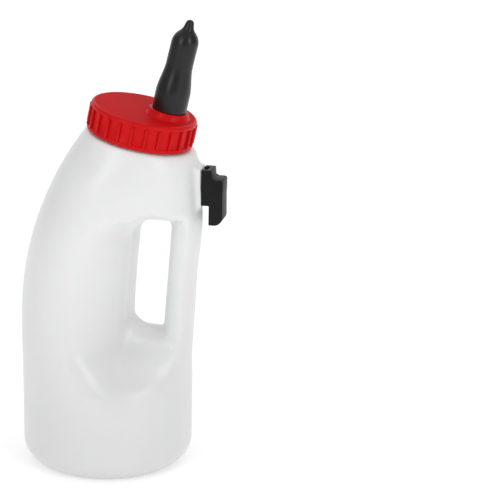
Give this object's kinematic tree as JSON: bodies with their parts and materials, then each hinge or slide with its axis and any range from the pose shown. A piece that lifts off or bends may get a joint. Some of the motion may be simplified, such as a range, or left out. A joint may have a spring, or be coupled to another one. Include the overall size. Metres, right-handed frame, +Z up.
{
  "type": "calf feeding bottle",
  "caption": "Hand-held milk bottle for calves with a built-in grip, a screw cap with an off-centre rubber teat and flow valve, and a hook for hanging it on a pen rail.",
  "frame": {"origin": "centre of the flat face that the bottle stands on", "axes": "+Z up, +X towards the grip, the hook and the teat, and Y = 0 is the mould's parting plane"},
  "size_m": [0.1884, 0.1596, 0.4201],
  "materials": {
    "bottle_plastic": "satin, blow-moulded",
    "cap_plastic": "semi-gloss, moulded",
    "teat_rubber": "smooth, soft sheen",
    "seal_rubber": "smooth",
    "dial_plastic": "moulded",
    "valve_plastic": "moulded",
    "ball_steel": "polished stainless steel",
    "hook_plastic": "fine moulded grain"
  },
  "bodies": {
    "bottle_body": {"bottle": "bottle_plastic", "hook_bracket": "hook_plastic"},
    "seal_ring": {"cap_gasket": "seal_rubber"},
    "cap": {"screw_cap": "cap_plastic", "valve_seat": "valve_plastic", "ball_cage": "valve_plastic"},
    "teat_unit": {"teat": "teat_rubber", "valve_dial": "dial_plastic"},
    "ball": {"check_ball": "ball_steel"}
  },
  "joints": [
    {"name": "cap_lift", "type": "slide", "parent": "bottle_body", "child": "seal_ring", "axis": [0.2011, 0, 0.9796], "range_m": [0, 0.009]},
    {"name": "cap_turn", "type": "hinge", "parent": "seal_ring", "child": "cap", "pos_m": [0.0287, 0, 0.3113], "axis": [0.2011, 0, 0.9796], "range_deg": [0, 541]},
    {"name": "flow_select", "type": "hinge", "parent": "cap", "child": "teat_unit", "pos_m": [0.04986, 0, 0.30696], "axis": [0.2011, 0, 0.9796], "range_deg": [0, 240]},
    {"name": "ball_rise", "type": "slide", "parent": "cap", "child": "ball", "axis": [0.2011, 0, 0.9796], "range_m": [0, 0.003]}
  ],
  "couplings": [
    {"joint": "cap_turn", "follows": "cap_lift", "rad_per_m": 1047.2}
  ]
}
